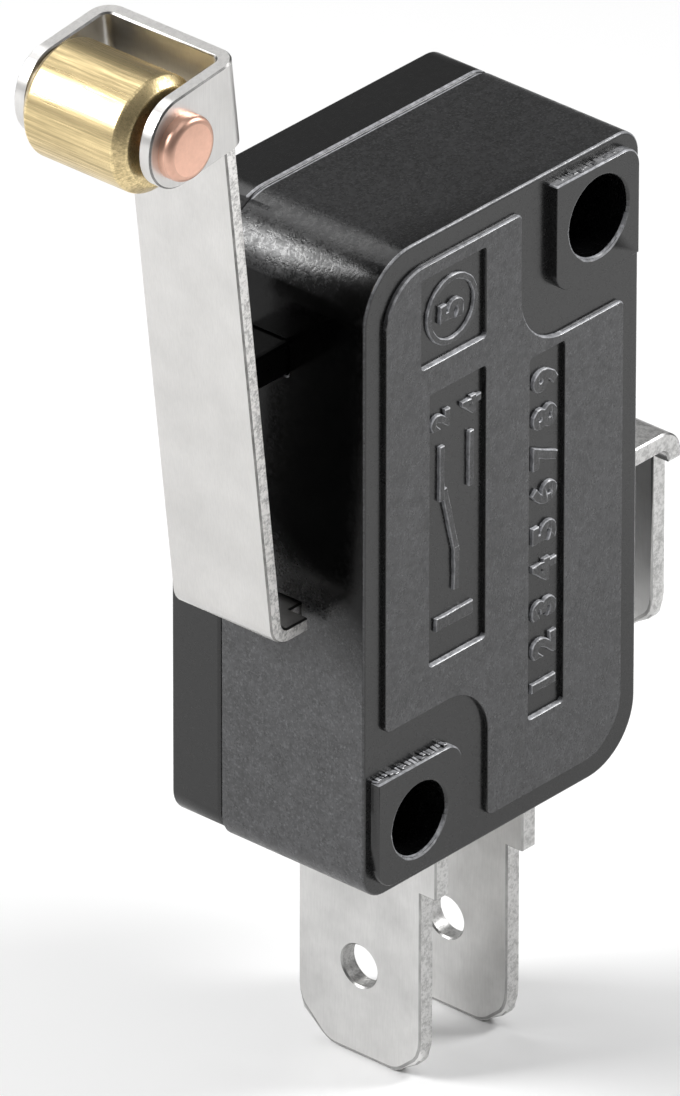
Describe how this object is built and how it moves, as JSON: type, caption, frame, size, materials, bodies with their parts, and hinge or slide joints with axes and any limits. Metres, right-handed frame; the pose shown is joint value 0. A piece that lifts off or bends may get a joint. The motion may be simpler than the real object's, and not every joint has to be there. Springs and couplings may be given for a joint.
{
  "type": "micro switch",
  "caption": "Snap-action micro switch: moulded case and cover, roller lever on a plunger, changeover contacts inside, flat push-on tabs and mounting holes on a diagonal.",
  "frame": {"origin": "axis of the lower mounting hole, in the plane of the cover's back face", "axes": "+Z along the body's long side, away from the lower tabs; -Y out of the moulded front; the lever lies on the -X side"},
  "size_m": [0.0312, 0.0103, 0.0499],
  "materials": {
    "black_plastic": "fine moulded grain",
    "plunger_plastic": "smooth",
    "lever_steel": "rolled, satin",
    "roller_brass": "turned",
    "pin_copper": "satin copper",
    "tab_metal": "tin plated",
    "contact_silver": "satin silver",
    "spring_bronze": "rolled",
    "spring_steel": "drawn wire"
  },
  "bodies": {
    "body": {"case": "black_plastic", "cover": "black_plastic", "common_terminal": "tab_metal", "normally_closed_terminal": "tab_metal", "normally_open_terminal": "tab_metal", "normally_closed_contact": "contact_silver", "normally_open_contact": "contact_silver", "pivot_bracket": "spring_bronze", "bracket_rivets": "spring_bronze"},
    "lever": {"roller_lever": "lever_steel", "roller_pin": "pin_copper"},
    "roller": {"roller": "roller_brass"},
    "plunger": {"plunger": "plunger_plastic"},
    "trip": {"trip_lever": "spring_bronze"},
    "arm": {"contact_arm": "spring_bronze", "moving_contact": "contact_silver"},
    "spring": {"snap_spring": "spring_steel"}
  },
  "joints": [
    {"name": "lever_pivot", "type": "hinge", "parent": "body", "child": "lever", "pos_m": [-0.0022, -0.00495, 0.00895], "axis": [0, 1, 0], "range_deg": [0, 7.5], "stiffness_Nm_per_rad": 0.12, "springref_deg": -8.59},
    {"name": "roller_spin", "type": "hinge", "parent": "lever", "child": "roller", "pos_m": [-0.01138, -0.00495, 0.0333], "axis": [0, 1, 0], "continuous": true},
    {"name": "plunger_slide", "type": "slide", "parent": "body", "child": "plunger", "axis": [1, 0, 0], "range_m": [0, 0.00143]},
    {"name": "trip_pivot", "type": "hinge", "parent": "body", "child": "trip", "pos_m": [0.00644, -0.00495, 0.0119], "axis": [0, 1, 0], "range_deg": [0, 10.88]},
    {"name": "arm_pivot", "type": "hinge", "parent": "body", "child": "arm", "pos_m": [0.00549, -0.00495, 0.0157], "axis": [0, -1, 0], "range_deg": [0, 4.01]},
    {"name": "spring_swing", "type": "hinge", "parent": "arm", "child": "spring", "pos_m": [0.00549, -0.00495, 0.0051], "axis": [0, 1, 0], "range_deg": [0, 5.97]}
  ],
  "couplings": [
    {"joint": "plunger_slide", "follows": "lever_pivot", "m_per_rad": 0.010912},
    {"joint": "trip_pivot", "follows": "lever_pivot", "ratio": 1.4501},
    {"joint": "arm_pivot", "follows": "lever_pivot", "ratio": 0.535},
    {"joint": "spring_swing", "follows": "lever_pivot", "ratio": 0.7956}
  ]
}
